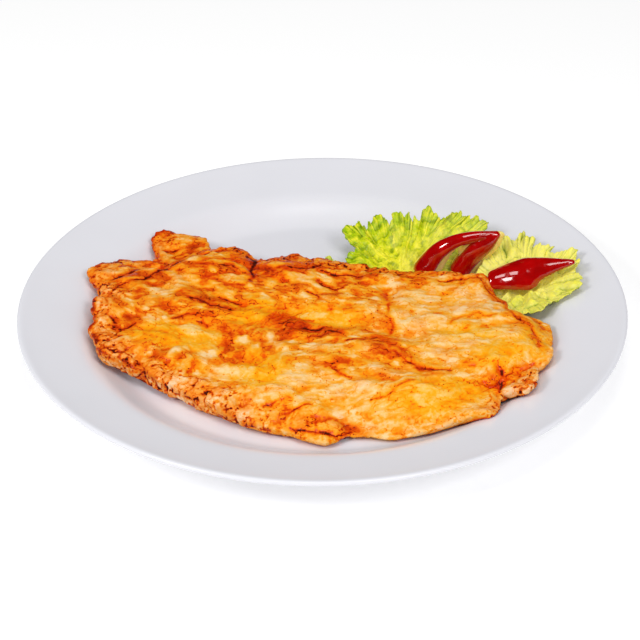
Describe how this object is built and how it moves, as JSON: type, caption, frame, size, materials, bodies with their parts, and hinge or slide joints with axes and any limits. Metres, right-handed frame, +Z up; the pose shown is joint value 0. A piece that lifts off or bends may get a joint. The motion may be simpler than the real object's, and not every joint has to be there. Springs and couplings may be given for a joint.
{
  "type": "plated schnitzel",
  "caption": "Pan-fried schnitzel with an uneven golden-brown crust on a round white dinner plate, garnished with frilly lettuce and red pepper pieces.",
  "frame": {"origin": "on the plate's axis, level with the underside of its foot ring", "axes": "+Z up; the diner sits at -Y; +X to the diner's right; the garnish lies towards +X and +Y"},
  "size_m": [0.27, 0.27, 0.0323],
  "materials": {
    "porcelain": "smooth white glaze",
    "crust": "fried crust, patchy from pale gold to dark brown, shiny with oil",
    "lettuce": "crisp yellow-green leaf, moist and slightly translucent",
    "pepper_skin": "glossy deep red skin",
    "pepper_flesh": "moist cut flesh, pale orange"
  },
  "bodies": {
    "root": {"plate": "porcelain", "schnitzel": "crust", "lettuce_left": "lettuce", "lettuce_right": "lettuce", "pepper_fork": "pepper_skin", "pepper_point": "pepper_skin"}
  },
  "joints": []
}
